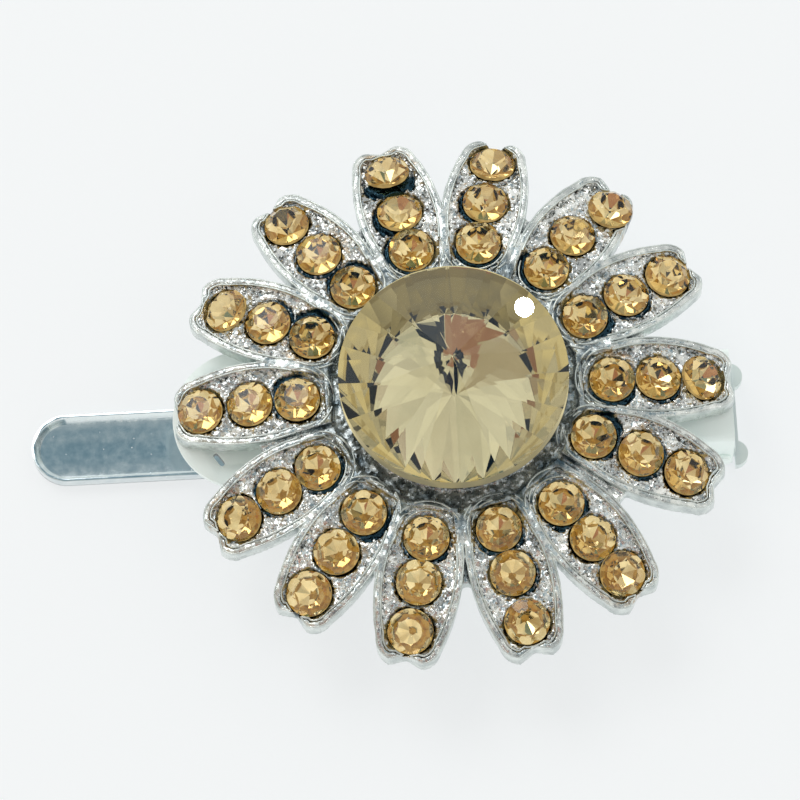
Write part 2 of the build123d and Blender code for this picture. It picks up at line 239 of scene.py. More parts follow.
def makeStudio():
    bm = bmesh.new()
    bmesh.ops.create_grid(bm, x_segments=1, y_segments=1, size=studio["floorSize"] / 2)
    material, tree, shader = newMaterial("floor_paper")
    shader.inputs["Base Color"].default_value = studio["floorColor"]
    shader.inputs["Roughness"].default_value = studio["floorRoughness"]
    shader.inputs["Specular IOR Level"].default_value = studio["floorSpecular"]
    shader.inputs["Emission Color"].default_value = studio["floorGlow"]
    shader.inputs["Emission Strength"].default_value = studio["glowStrength"]
    floor = objectFrom(bm, "floor", [material])
    for name, direction, distance, size, power in studio["lamps"]:
        light = bpy.data.lights.new(name, "AREA")
        light.shape = "DISK"
        light.size = size
        light.energy = power
        lamp = bpy.data.objects.new(name, light)
        away = heading(*direction)
        lamp.location = Vector(studio["glintFrom"]) + away * distance
        lamp.rotation_euler = (-away).to_track_quat("-Z", "Y").to_euler()
        bpy.context.scene.collection.objects.link(lamp)
    world = bpy.data.worlds.new("room")
    world.use_nodes = True
    bpy.context.scene.world = world
    tree = world.node_tree
    background = tree.nodes["Background"]
    background.inputs["Strength"].default_value = studio["roomStrength"]
    vector = addNode(tree, "ShaderNodeTexCoord").outputs["Generated"]
    height = addNode(tree, "ShaderNodeSeparateXYZ", [(vector, 0)]).outputs["Z"]
    rise = mapRange(tree, height, *studio["rise"], 0, 1)
    color = mixColor(tree, rise, studio["horizon"], studio["ceiling"])
    things = addNode(
        tree, "ShaderNodeTexNoise", [(vector, "Vector")], Scale=studio["mottleScale"], Detail=1.0,
    )
    bright = mapRange(tree, things.outputs["Fac"], 0.35, 0.65, *studio["mottle"])
    varied = addNode(tree, "ShaderNodeVectorMath", [(color, 0), (bright, 1)], operation="MULTIPLY")
    color = varied.outputs[0]
    for direction, near, far, tint in studio["patches"]:
        color = skyPatch(tree, vector, color, direction, near, far, tint)
    color = skyStripe(tree, vector, color, *studio["stripe"])
    tree.links.new(color, background.inputs["Color"])


makeStudio()
print("floor and lights placed")


# Materials of the stones: clear glass, foil behind it and a ground rim that glows with painted
# light

champagne = {
    "glass": (0.90, 0.865, 0.61, 1),
    "foil": ((0.72, 0.68, 0.58, 1), (0.79, 0.75, 0.66, 1)),
    "foilScale": 180.0,
    "foilRoughness": 0.02,
    # rim: colour of the rim's glow, which is painted light
    "rim": ((0.62, 0.55, 0.33, 1), (0.80, 0.69, 0.37, 1)),
    "rimScale": 420.0,
    "rimGlowSides": 0.93,  # how much of its painted glow the rim keeps at the left and right
    "rimGlowFront": 0.36,  # and on the -Y side
}

topaz = {
    "glass": (0.975, 0.91, 0.73, 1),
    "foil": ((0.82, 0.65, 0.36, 1), (0.97, 0.84, 0.54, 1)),
    "foilScale": 900.0,
    "foilRoughness": 0.05,
    # rim: colour of the rim's glow, which is painted light
    "rim": ((0.28, 0.18, 0.06, 1), (0.45, 0.31, 0.11, 1)),
    "rimScale": 1500.0,
}

stoneFinish = {
    "refraction": 1.56,
    "rimBase": (0.03, 0.03, 0.02, 1),
    "rimRoughness": 0.6,
    "sides": (4 * mm, 7.5 * mm),  # X at which the large stone's painted rim glow starts and ends to change
    "front": (-6 * mm, -3 * mm),  # and Y
}


def glassMaterial(name, look):
    material, tree, shader = newMaterial(name + "_glass")
    shader.inputs["Base Color"].default_value = look["glass"]
    shader.inputs["Roughness"].default_value = 0
    shader.inputs["Transmission Weight"].default_value = 1
    shader.inputs["IOR"].default_value = stoneFinish["refraction"]
    return material


def foilMaterial(name, look):
    # painted foil, a little uneven
    material, tree, shader = newMaterial(name + "_foil")
    shader.inputs["Metallic"].default_value = 1
    shader.inputs["Roughness"].default_value = look["foilRoughness"]
    vector = addNode(tree, "ShaderNodeTexCoord").outputs["Object"]
    patches = addNode(
        tree, "ShaderNodeTexNoise", [(vector, "Vector")], Scale=look["foilScale"], Detail=2.0,
    )
    color = ramp(tree, patches.outputs["Fac"], 0.35, 0.65, *look["foil"])
    tree.links.new(color, shader.inputs["Base Color"])
    return material


def rimGlowMaterial(name, look):
    # the rim glows: painted light that stands in for the light the stone has gathered and lets out
    # at its rim
    material, tree, shader = newMaterial(name + "_rim_glow")
    shader.inputs["Base Color"].default_value = stoneFinish["rimBase"]
    shader.inputs["Roughness"].default_value = stoneFinish["rimRoughness"]
    shader.inputs["Specular IOR Level"].default_value = 0
    vector = addNode(tree, "ShaderNodeTexCoord").outputs["Object"]
    patches = addNode(
        tree, "ShaderNodeTexNoise", [(vector, "Vector")], Scale=look["rimScale"], Detail=1.0,
    )
    color = ramp(tree, patches.outputs["Fac"], 0.42, 0.58, *look["rim"])
    tree.links.new(color, shader.inputs["Emission Color"])
    shader.inputs["Emission Strength"].default_value = 1
    # painted light: the large stone's rim glows less on its -Y side and a little less at its left
    # and right
    if "rimGlowSides" in look:
        spot = addNode(tree, "ShaderNodeSeparateXYZ", [(vector, 0)])
        across = addNode(tree, "ShaderNodeMath", [(spot.outputs["X"], 0)], operation="ABSOLUTE")
        beside = mapRange(tree, across.outputs[0], *stoneFinish["sides"], 1, look["rimGlowSides"])
        ahead = mapRange(tree, spot.outputs["Y"], *stoneFinish["front"], look["rimGlowFront"], 1)
        strength = addNode(tree, "ShaderNodeMath", [(beside, 0), (ahead, 1)], operation="MULTIPLY")
        tree.links.new(strength.outputs[0], shader.inputs["Emission Strength"])
    return material


champagneGlass = glassMaterial("champagne", champagne)
champagneFoil = foilMaterial("champagne", champagne)
champagneRimGlow = rimGlowMaterial("champagne", champagne)
topazGlass = glassMaterial("topaz", topaz)
topazFoil = foilMaterial("topaz", topaz)
topazRimGlow = rimGlowMaterial("topaz", topaz)
print("stone materials made")


# Materials of the clip

bladeSheet = {
    "bright": (0.82, 0.87, 0.87, 1),
    "dim": (0.70, 0.77, 0.79, 1),
    "metal": 1,
    "rough": 0.15,
    "mottleScale": 1700.0,
    "specks": 0.07,  # size of the pale specks of dust
    "satinFrom": 20.5 * mm,  # behind this the metal is worn to a pale satin
}

plateSheet = {
    "bright": (0.92, 0.99, 0.96, 1),
    "dim": (0.85, 0.93, 0.90, 1),
    "metal": 0.1,
    "rough": 0.45,
    "mottleScale": 260.0,
    "specks": 0.03,
    "paintedGlow": 0.08,  # painted glow, standing in for light that the paper and the petals throw back at it
    # painted shade on the walls of the sewing slots
    "slotShade": ((-16.9 * mm, -3.2 * mm, 5.0 * mm), (-16.9 * mm, 2.8 * mm, 5.0 * mm)),
}

springWire = {
    "bright": (0.72, 0.73, 0.74, 1),
    "dim": (0.52, 0.53, 0.55, 1),
    "metal": 1,
    "rough": 0.3,
    "mottleScale": 1500.0,
    "specks": 0.02,
}

sheetFinish = {
    "bump": 0.01 * mm,
    "dustScale": 1300.0,
    "dustColor": (0.88, 0.9, 0.9, 1),
    "dustShine": (0.6, 0.6, 0.6, 1),
    "slotShadeColor": (0.06, 0.08, 0.08, 1),
    "slotShadeReach": (0.7 * mm, 0.9 * mm),
    "under": (0.34, 0.44, 0.49, 1),  # painted shade: the underside is painted duller and bluer than the top
    "satinColor": (0.80, 0.88, 0.85, 1),
    "satinShine": (0.5, 0.5, 0.5, 1),
    "satinMetal": 0.2,
    "satinBlend": 1 * mm,
    "paintedGlowColor": (0.90, 1.0, 0.97, 1),
}


def sheetMaterial(name, look):
    # plated sheet metal with a faint mottle and a few pale specks; painted shade at the sewing
    # slots and on the underside, and a painted glow where one is given
    f = sheetFinish
    material, tree, shader = newMaterial(name)
    vector = addNode(tree, "ShaderNodeTexCoord").outputs["Object"]
    mottle = addNode(
        tree, "ShaderNodeTexNoise", [(vector, "Vector")], Scale=look["mottleScale"], Detail=6.0,
    ).outputs["Fac"]
    color = ramp(tree, mottle, 0.3, 0.7, look["dim"], look["bright"])
    shine = mapRange(tree, mottle, 0.3, 0.7, look["rough"] * 0.7, look["rough"] * 1.4)
    bump = addNode(tree, "ShaderNodeBump", [(mottle, "Height")], Strength=0.5, Distance=f["bump"])
    dust = addNode(tree, "ShaderNodeTexVoronoi", [(vector, "Vector")], Scale=f["dustScale"])
    speck = mapRange(tree, dust.outputs["Distance"], look["specks"] * 0.6, look["specks"], 1, 0)
    color = mixColor(tree, speck, color, f["dustColor"])
    shine = mixColor(tree, speck, shine, f["dustShine"])
    geometry = addNode(tree, "ShaderNodeNewGeometry").outputs["Normal"]
    facing = addNode(tree, "ShaderNodeSeparateXYZ", [(geometry, 0)]).outputs["Z"]
    walls = mapRange(tree, facing, 0.4, 0.9, 1, 0)
    # painted shade: darkens the walls near each sewing slot
    for slot in look.get("slotShade", ()):
        gap = addNode(tree, "ShaderNodeVectorMath", [(vector, 0)], operation="DISTANCE")
        gap.inputs[1].default_value = slot
        near = mapRange(tree, gap.outputs["Value"], *f["slotShadeReach"], 1, 0)
        slotShaded = addNode(tree, "ShaderNodeMath", [(near, 0), (walls, 1)], operation="MULTIPLY")
        color = mixColor(tree, slotShaded.outputs[0], color, f["slotShadeColor"])
    # painted shade on the faces that look down
    color = mixColor(tree, mapRange(tree, facing, -0.9, -0.6, 1, 0), color, f["under"])
    shader.inputs["Metallic"].default_value = look["metal"]
    if "satinFrom" in look:
        along = addNode(tree, "ShaderNodeSeparateXYZ", [(vector, 0)]).outputs["X"]
        satin = mapRange(tree, along, look["satinFrom"] - f["satinBlend"], look["satinFrom"], 0, 1)
        color = mixColor(tree, satin, color, f["satinColor"])
        shine = mixColor(tree, satin, shine, f["satinShine"])
        metal = mapRange(tree, satin, 0, 1, look["metal"], f["satinMetal"])
        tree.links.new(metal, shader.inputs["Metallic"])
    # painted light: a faint glow on the plate
    if "paintedGlow" in look:
        shader.inputs["Emission Color"].default_value = f["paintedGlowColor"]
        shader.inputs["Emission Strength"].default_value = look["paintedGlow"]
    tree.links.new(color, shader.inputs["Base Color"])
    tree.links.new(shine, shader.inputs["Roughness"])
    tree.links.new(bump.outputs["Normal"], shader.inputs["Normal"])
    return material


bladeSteel = sheetMaterial("blade_steel", bladeSheet)
plateSteel = sheetMaterial("plate_steel", plateSheet)
springSteel = sheetMaterial("spring_wire", springWire)
print("clip materials made")


# Material of the casting: bright plating over a blocky surface, with painted shade in its hollows

castLooks = {
    # how far the blocks lean where it is smooth and where it is rough, up to which
    # occlusion it is painted dark (painted shade), and how much of the pale worn tone its smooth
    # parts have
    "cast_silver": {"smooth": 0.2, "flake": 0.75, "deepEnd": 0.36, "plain": 0.65},
    "ridge_silver": {"smooth": 0.2, "flake": 0.3, "deepEnd": 0.25, "plain": 0.6},
    "grain_silver": {"smooth": 0.3, "flake": 0.3, "deepEnd": 0.25, "plain": 0},
}

castFinish = {
    "blockScale": 3300.0,
    "patchScale": 900.0,
    "grainScale": 6500.0,
    "dim": (0.50, 0.52, 0.52, 1),
    "bright": (0.95, 0.96, 0.93, 1),
    "worn": (0.66, 0.73, 0.70, 1),
    "gilt": (0.42, 0.27, 0.12, 1),
    # colour of the painted shade in crevices and recesses
    "deep": (0.028, 0.066, 0.094, 1),
    "deepReach": 0.8 * mm,
    "roughness": (0.12, 0.36),
    "wornRoughness": 0.2,
    "bump": 0.04 * mm,
}


def castMaterial(name):
    # the dark attribute (painted shade), gilt and rough are painted on the mesh
    look, f = castLooks[name], castFinish
    material, tree, shader = newMaterial(name)
    shader.inputs["Metallic"].default_value = 1
    vector = addNode(tree, "ShaderNodeTexCoord").outputs["Object"]
    blocks = addNode(tree, "ShaderNodeTexVoronoi", [(vector, "Vector")], Scale=f["blockScale"])
    patches = addNode(
        tree, "ShaderNodeTexNoise", [(vector, "Vector")], Scale=f["patchScale"], Detail=5.0,
    )
    grain = addNode(
        tree, "ShaderNodeTexNoise", [(vector, "Vector")], Scale=f["grainScale"], Detail=3.0,
    ).outputs["Fac"]
    tone = ramp(tree, patches.outputs["Fac"], 0.38, 0.6, f["dim"], f["bright"])
    rough = addNode(tree, "ShaderNodeAttribute", attribute_name="rough").outputs["Fac"]
    tone = mixColor(tree, mapRange(tree, rough, 0, 0.5, look["plain"], 0), tone, f["worn"])
    gilt = addNode(tree, "ShaderNodeAttribute", attribute_name="gilt").outputs["Fac"]
    tone = mixColor(tree, gilt, tone, f["gilt"])
    dark = addNode(tree, "ShaderNodeAttribute", attribute_name="dark").outputs["Fac"]
    # painted shade: dark where ambient occlusion finds crevices, and where the dark attribute is
    # painted
    shade = addNode(tree, "ShaderNodeAmbientOcclusion", samples=8, Distance=f["deepReach"])
    deep = mapRange(tree, shade.outputs["AO"], 0.10, look["deepEnd"], 0.9, 0)
    both = addNode(tree, "ShaderNodeMath", [(dark, 0), (deep, 1)], operation="MAXIMUM").outputs[0]
    tone = mixColor(tree, both, tone, f["deep"])
    tree.links.new(tone, shader.inputs["Base Color"])
    shine = mapRange(tree, grain, 0.3, 0.7, *f["roughness"])
    duller = mapRange(tree, rough, 0, 0.5, f["wornRoughness"] * look["plain"], 0)
    worn = addNode(tree, "ShaderNodeMath", [(duller, 0), (shine, 1)], operation="ADD")
    tree.links.new(worn.outputs[0], shader.inputs["Roughness"])
    # each block leans its own way, so that it catches its own light
    centred = addNode(
        tree, "ShaderNodeVectorMath", [(blocks.outputs["Color"], 0)], operation="SUBTRACT",
    )
    centred.inputs[1].default_value = (0.5, 0.5, 0.5)
    amount = mapRange(tree, rough, 0, 1, look["smooth"], look["flake"])
    lean = addNode(
        tree, "ShaderNodeVectorMath", [(centred.outputs[0], 0), (amount, "Scale")],
        operation="SCALE",
    )
    bump = addNode(tree, "ShaderNodeBump", [(grain, "Height")], Strength=0.5, Distance=f["bump"])
    upright = bump.outputs["Normal"]
    turned = addNode(
        tree, "ShaderNodeVectorMath", [(upright, 0), (lean.outputs[0], 1)], operation="ADD",
    )
    unit = addNode(tree, "ShaderNodeVectorMath", [(turned.outputs[0], 0)], operation="NORMALIZE")
    tree.links.new(unit.outputs[0], shader.inputs["Normal"])
    return material


castSilver = castMaterial("cast_silver")
ridgeSilver = castMaterial("ridge_silver")
grainSilver = castMaterial("grain_silver")
print("casting materials made")


# Stones are ground like real ones: each facet is a plane cut through a round blank

def grind(bm, count, start, tilt, edge, side):
    # edge is the radius and height of a point in the middle of each facet
    for index in range(count):
        a = start + index * 2 * pi / count
        bmesh.ops.bisect_plane(
            bm, geom=bm.verts[:] + bm.edges[:] + bm.faces[:], dist=1e-5,
            plane_co=(edge[0] * cos(a), edge[0] * sin(a), edge[1]),
            plane_no=(sin(tilt) * cos(a), sin(tilt) * sin(a), cos(tilt) * side), clear_outer=True,
        )
        opened = [e for e in bm.edges if e.is_boundary]
        if opened:
            bmesh.ops.holes_fill(bm, edges=opened, sides=0)


def groundStone(name, blank, cuts, materials):
    # all in millimetres until the end; materials are for front, back and rim
    bm = bmesh.new()
    bmesh.ops.create_cone(
        bm, cap_ends=True, segments=blank["sides"],
        radius1=blank["radius"], radius2=blank["radius"], depth=blank["top"] - blank["bottom"],
        matrix=Matrix.Translation((0, 0, (blank["top"] + blank["bottom"]) / 2)),
    )
    for count, start, tilt, edge, side in cuts:
        grind(bm, count, start, tilt, edge, side)
    bmesh.ops.recalc_face_normals(bm, faces=bm.faces[:])
    for face in bm.faces:
        if abs(face.normal.z) < 0.05:
            face.material_index = 2
        else:
            face.material_index = 0 if face.normal.z > 0 else 1
    bmesh.ops.scale(bm, vec=(mm, mm, mm), verts=bm.verts[:])
    mesh = bpy.data.meshes.new(name)
    bm.to_mesh(mesh)
    bm.free()
    for material in materials:
        mesh.materials.append(material)
    return mesh


smallStone = {
    "radius": 1.6,
    "girdle": 0.25,
    "crown": 0.7,
    "back": 0.9,
    "table": 0.54,
    "facets": 8,
    "sides": 48,
    "tilt": 4.0,  # no stone sits quite straight
    "starTilt": 0.6,  # of the crown's tilt
    "starEdge": (0.06, 0.93),  # out from the table, and up the crown
    "innerTilt": 1.25,  # of the back's tilt
    "innerEdge": 0.98,
}


def smallStoneMesh():
    s = smallStone
    half = s["girdle"] / 2
    step = pi / s["facets"]
    crownTilt = atan2(s["crown"], s["radius"] * (1 - s["table"]))
    blank = {
        "sides": s["sides"], "radius": s["radius"], "top": half + s["crown"],
        "bottom": -half - s["back"] + 0.01,
    }
    backTilt = atan2(s["back"], s["radius"])
    out, up = s["starEdge"]
    starEdge = (s["radius"] * (s["table"] + out), half + s["crown"] * up)
    cuts = (
        (s["facets"], 0, crownTilt, (s["radius"] * 0.999, half), 1),
        (s["facets"], step, crownTilt * s["starTilt"], starEdge, 1),
        (s["facets"], step, backTilt, (s["radius"] * 0.999, -half), -1),
        (s["facets"], 0, backTilt * s["innerTilt"], (s["radius"] * s["innerEdge"], -half), -1),
    )
    return groundStone("small_stone", blank, cuts, (topazGlass, topazFoil, topazRimGlow))


def stoneSeat(nodeName):
    # the table is the largest flat face, and gives the stone's place and lean
    areas = {}
    for polygon in nodes[nodeName].data.polygons:
        key = tuple(round(value, 2) for value in polygon.normal)
        areas.setdefault(key, []).append(polygon)
    table = max(areas.values(), key=lambda group: sum(p.area for p in group))
    total = sum(p.area for p in table)
    normal = table[0].normal.normalized()
    centre = Vector((0, 0, 0))
    for polygon in table:
        centre += polygon.center * polygon.area / total
    middle = centre - normal * (smallStone["crown"] + smallStone["girdle"] / 2) * mm
    return Matrix.Translation(middle) @ normal.to_track_quat("Z", "Y").to_matrix().to_4x4()


def makeSmallStones():
    random.seed(7)
    pattern = smallStoneMesh()
    seats = []
    for nodeName in sorted(name for name in nodes if name.startswith("stone_")):
        seat = stoneSeat(nodeName)
        seats.append(seat)
        spin = Matrix.Rotation(random.uniform(0, pi / 4), 4, "Z")
        leanAxis = Vector((random.uniform(-1, 1), random.uniform(-1, 1), 0)).normalized()
        lean = Matrix.Rotation(radians(random.uniform(0, smallStone["tilt"])), 4, leanAxis)
        mesh = pattern.copy()
        mesh.name = "rhinestone" + nodeName[5:]
        mesh.transform(seat @ lean @ spin)
        stone = bpy.data.objects.new(mesh.name, mesh)
        bpy.context.scene.collection.objects.link(stone)
        place(stone, flowerSide, "stone_glass", nodeName)
    print("small stones set:", len(seats))
    return seats


stoneSeats = makeSmallStones()


largeStone = {
    "radius": 8.1,
    "girdle": 1.2,
    "front": 3.5,
    "back": 2.72,
    "facets": 18,
    "sides": 144,
    "height": 11.05 * mm,
    "frontTurn": 20.0,  # middle of the first front facet
    "edge": 0.02 * mm,
    "creased": 0.05,  # least angle, in radians, of an edge that is softened
}


def makeLargeStone():
    s = largeStone
    half = s["girdle"] / 2
    turn = radians(s["frontTurn"])
    step = pi / s["facets"]
    blank = {
        "sides": s["sides"], "radius": s["radius"], "top": half + s["front"] - 0.03,
        "bottom": -half - s["back"] + 0.01,
    }
    cuts = (
        (s["facets"], turn, atan2(s["front"], s["radius"]), (s["radius"] * 0.9999, half), 1),
        (
            s["facets"], turn + step, atan2(s["back"], s["radius"]),
            (s["radius"] * 0.9999, -half), -1,
        ),
    )
    mesh = groundStone("large_stone", blank, cuts, (champagneGlass, champagneFoil, champagneRimGlow))
    bm = bmesh.new()
    bm.from_mesh(mesh)
    front = [
        e for e in bm.edges
        if all(f.normal.z > 0.5 for f in e.link_faces) and e.calc_face_angle() > s["creased"]
    ]
    bmesh.ops.bevel(
        bm, geom=front, offset=s["edge"], offset_type="OFFSET", segments=1, profile=0.5,
        affect="EDGES", clamp_overlap=True, material=-1,
    )
    bmesh.ops.translate(bm, vec=(0, 0, s["height"]), verts=bm.verts[:])
    bm.to_mesh(mesh)
    bm.free()
    stone = bpy.data.objects.new("large_stone", mesh)
    bpy.context.scene.collection.objects.link(stone)
    place(stone, flowerSide, "centre_glass", "centre_stone")
    print("large stone set, faces:", len(mesh.polygons))


makeLargeStone()


# Cast flower

casting = {
    "voxel": 0.12 * mm,
    "pebble": 0.34 * mm,  # size of the pebbles on the petals
    "pebbleHeight": 0.08 * mm,
    "mostTriangles": 190000,
    "topHeight": 8.7 * mm,  # top of the petals' raised edges near the large stone
    "flatRadius": 9.5 * mm,
    "domeRadius": 28.0 * mm,
    "stonesFrom": 9.0 * mm,  # nearer to the axis there are no small stones
    "cupRadius": 9.6 * mm,
    "cupTop": 10.5 * mm,
    "webRadius": 12.0 * mm,  # nearer to the axis, floors are as smooth as rims
    "seatEdge": 1.78 * mm,
    "sideBelow": 4.5 * mm,  # below this there are no petals
    "rimDepth": 0.15 * mm,  # the floors lie deeper than this below the rims
    "rimTop": 0.2 * mm,
    "floorRough": 1.0,
    "rimRough": 0.32,
    "wallRough": 0.1,
    # how dark the painted shade is in the seats, crescents, cup, roots and slots
    "seatDark": 0.75,
    "seatDepth": 0.40 * mm,  # below this the seats get painted shade
    "crescentDark": 1.0,
    "cupDark": (0.48, 0.6),  # its mean, and how much it varies
    "rootDark": (0.8, 0.5),
    "rootEnd": 11.0 * mm,  # the dark roots fade out here
    "rootBlend": 1.4 * mm,
    "slotDark": 0.8,  # the deep slots between the petals' roots
    "slotDepth": (0.75 * mm, 2.0 * mm),
    "slotEnd": 15.5 * mm,
    "giltEdge": 2.25 * mm,  # how far from a stone's axis the gold traces reach
    "giltOn": 4,  # one stone in so many has them
    "crescentDepth": 0.35 * mm,
    "crescents": {
        # stone, counted clockwise from the top of the flower and outwards: direction, width
        0: (-95, 0.30 * mm), 1: (-150, 0.20 * mm), 2: (-60, 0.10 * mm), 3: (190, 0.30 * mm),
        6: (-25, 0.38 * mm), 7: (-60, 0.15 * mm), 9: (-80, 0.30 * mm), 10: (-60, 0.12 * mm),
        12: (10, 0.42 * mm), 13: (-45, 0.18 * mm), 15: (-60, 0.30 * mm), 18: (-80, 0.25 * mm),
        19: (-30, 0.15 * mm), 21: (-90, 0.22 * mm), 24: (-70, 0.35 * mm), 27: (-40, 0.25 * mm),
        28: (200, 0.15 * mm), 30: (150, 0.30 * mm), 33: (95, 0.35 * mm), 34: (20, 0.20 * mm),
        36: (110, 0.35 * mm), 37: (-95, 0.18 * mm), 39: (200, 0.22 * mm), 40: (-110, 0.42 * mm),
        41: (-80, 0.55 * mm),
    },
}


def domeHeight(r):
    c = casting
    across = max(r - c["flatRadius"], 0)
    return c["topHeight"] - c["domeRadius"] + sqrt(c["domeRadius"]**2 - across**2)


seatInverses = [seat.inverted() for seat in stoneSeats]


def seatDistance(point):
    # distance from the axis of the nearest small stone, and that stone's number
    best = (1.0, 0)
    for number, inverse in enumerate(seatInverses):
        local = inverse @ point
        best = min(best, (sqrt(local.x**2 + local.y**2), number))
    return best


def seatEdge(number, point):
    # some stones don't fill their seats, which leaves a crescent open on one side
    if number not in casting["crescents"]:
        return casting["seatEdge"]
    direction, width = casting["crescents"][number]
    middle = stoneSeats[number].translation
    a = atan2(point.y - middle.y, point.x - middle.x) - radians(direction)
    return casting["seatEdge"] + width * max(cos(a), 0)


def paintCasting(mesh):
    # painted shade: dark in the seats, the cup, the roots and the slots; traces of gold foil beside
    # some seats;
    # rough on the petals' floors, where the grains are
    c = casting
    dark = mesh.attributes.new("dark", "FLOAT", "POINT")
    gilt = mesh.attributes.new("gilt", "FLOAT", "POINT")
    rough = mesh.attributes.new("rough", "FLOAT", "POINT")
    darkValues, giltValues, roughValues = [], [], []
    for vert in mesh.vertices:
        point = vert.co
        r = sqrt(point.x**2 + point.y**2)
        sunk = domeHeight(r) - point.z
        near = point.z > c["sideBelow"] and r > c["stonesFrom"]
        away, number = seatDistance(point) if near else (1.0, 0)
        value = 0.0
        edge = seatEdge(number, point)
        deep = sunk > c["seatDepth"] or edge > c["seatEdge"] + 0.2 * mm
        if away < edge + 0.05 * mm and deep:
            value = c["crescentDark"] if edge > c["seatEdge"] + 0.1 * mm else c["seatDark"]
        if r < c["cupRadius"] and point.z < c["cupTop"]:
            mean, varies = c["cupDark"]
            value = max(value, mean + varies * noise.noise(point / (0.9 * mm)))
        elif r < c["rootEnd"]:
            mean, varies = c["rootDark"]
            fade = (c["rootEnd"] - r) / c["rootBlend"]
            value = max(value, mean * fade + varies * noise.noise(point / (0.4 * mm)))
        inSlot = c["slotDepth"][0] < sunk < c["slotDepth"][1] and r < c["slotEnd"]
        if inSlot and vert.normal.z > 0.2:
            value = max(value, c["slotDark"])
        if vert.normal.z < -0.2:
            value = 0.0
        darkValues.append(min(max(value, 0.0), 1.0))
        trace = 0.0
        if number % c["giltOn"] == 1 and c["seatEdge"] < away < c["giltEdge"]:
            side = seatInverses[number] @ point
            if sin(atan2(side.y, side.x) + number) > 0.2:
                trace = 0.8 * (0.5 + noise.noise(point / (0.25 * mm)))
        giltValues.append(min(max(trace, 0.0), 1.0))
        rootHere = r < c["webRadius"] and vert.normal.z > -0.2
        if vert.normal.z > 0.5 and sunk > c["rimTop"] and not rootHere:
            roughValues.append(c["floorRough"])
        elif rootHere or vert.normal.z > 0.5:
            roughValues.append(c["rimRough"])
        else:
            roughValues.append(c["wallRough"])
    dark.data.foreach_set("value", darkValues)
    gilt.data.foreach_set("value", giltValues)
    rough.data.foreach_set("value", roughValues)


def makeFlower():
    c = casting
    bm = mergedCopy("flower_casting")
    flower = objectFrom(bm, "cast_flower", [castSilver])
    remesh = flower.modifiers.new("remesh", "REMESH")
    remesh.mode = "VOXEL"
    remesh.voxel_size = c["voxel"]
    applyModifiers(flower)
    bm = bmesh.new()
    bm.from_mesh(flower.data)
    bm.normal_update()
    for vert in bm.verts:
        r = sqrt(vert.co.x**2 + vert.co.y**2)
        sunk = domeHeight(r) - vert.co.z
        if vert.normal.z < 0.2 or vert.co.z < c["sideBelow"] or sunk < c["rimDepth"]:
            continue
        near, second = noise.voronoi(vert.co / c["pebble"])[0][:2]
        vert.co += vert.normal * c["pebbleHeight"] * (min(second - near, 0.5) * 2 - 0.6)
        away, number = seatDistance(vert.co)
        if c["seatEdge"] < away < seatEdge(number, vert.co):
            vert.co.z -= c["crescentDepth"]
    bm.to_mesh(flower.data)
    bm.free()
    triangles = 2 * len(flower.data.polygons)
    if triangles > c["mostTriangles"]:
        thin = flower.modifiers.new("thin", "DECIMATE")
        thin.ratio = c["mostTriangles"] / triangles
        applyModifiers(flower)
    flower.data.polygons.foreach_set("use_smooth", [True] * len(flower.data.polygons))
    flower.data.materials.clear()
    flower.data.materials.append(castSilver)
    paintCasting(flower.data)
    place(flower, flowerSide, "cast_metal", "flower_casting")
    print("flower cast, triangles before thinning:", triangles)


makeFlower()


# Two bright ridges run along the raised edge of every petal

ridges = {
    "radius": 0.075 * mm,
    "onTop": 0.03 * mm,  # how near to the dome's height an edge has to be
    "sharp": 35.0,
    "step": 0.22 * mm,
    "rootRadius": 11.4 * mm,  # nearer to the large stone the edges are cast over
    "collars": (1.93 * mm, 2.22 * mm, 2.52 * mm),  # round the inner side of the inner stones
    "collarStep": 5,
    "collarHalf": (75, 95, 60),
    "collarLift": 0.02 * mm,
    "waver": 0.08 * mm,  # how far an arc strays from its circle
    "broken": 0.32,  # less means more gaps in the arcs
    "thickness": 0.45,  # how much a ridge's radius varies
    "inset": 0.12 * mm,  # the ridges lie just inside the petals' outline
}


def edgePaths():
    # chains of the casting's sharp edges that lie at the top of the petals' rims
    bm = mergedCopy("flower_casting")
    bm.normal_update()
    chosen = set()
    for edge in bm.edges:
        if len(edge.link_faces) != 2 or edge.calc_face_angle() < radians(ridges["sharp"]):
            continue
        if all(
            abs(v.co.z - domeHeight(sqrt(v.co.x**2 + v.co.y**2))) < ridges["onTop"]
            and sqrt(v.co.x**2 + v.co.y**2) > ridges["rootRadius"] for v in edge.verts
        ):
            chosen.add(edge)
    paths = []
    for edge in sorted(chosen, key=lambda e: e.index):
        if edge not in chosen:
            continue
        chosen.discard(edge)
        path = [edge.verts[0], edge.verts[1]]
        for turn in (0, 1):
            while True:
                tip = path[-1]
                following = [e for e in tip.link_edges if e in chosen]
                if not following:
                    break
                chosen.discard(following[0])
                path.append(following[0].other_vert(tip))
            path.reverse()
        paths.append([v.co.copy() for v in path])
    bm.free()
    return paths


def evenPoints(path, step):
    points = [path[0]]
    left = step
    for a, b in zip(path, path[1:]):
        length = (b - a).length
        while length > left:
            a = a + (b - a) * (left / length)
            points.append(a)
            length -= left
            left = step
        left -= length
    if (points[-1] - path[-1]).length > step * 0.3:
        points.append(path[-1])
    return points


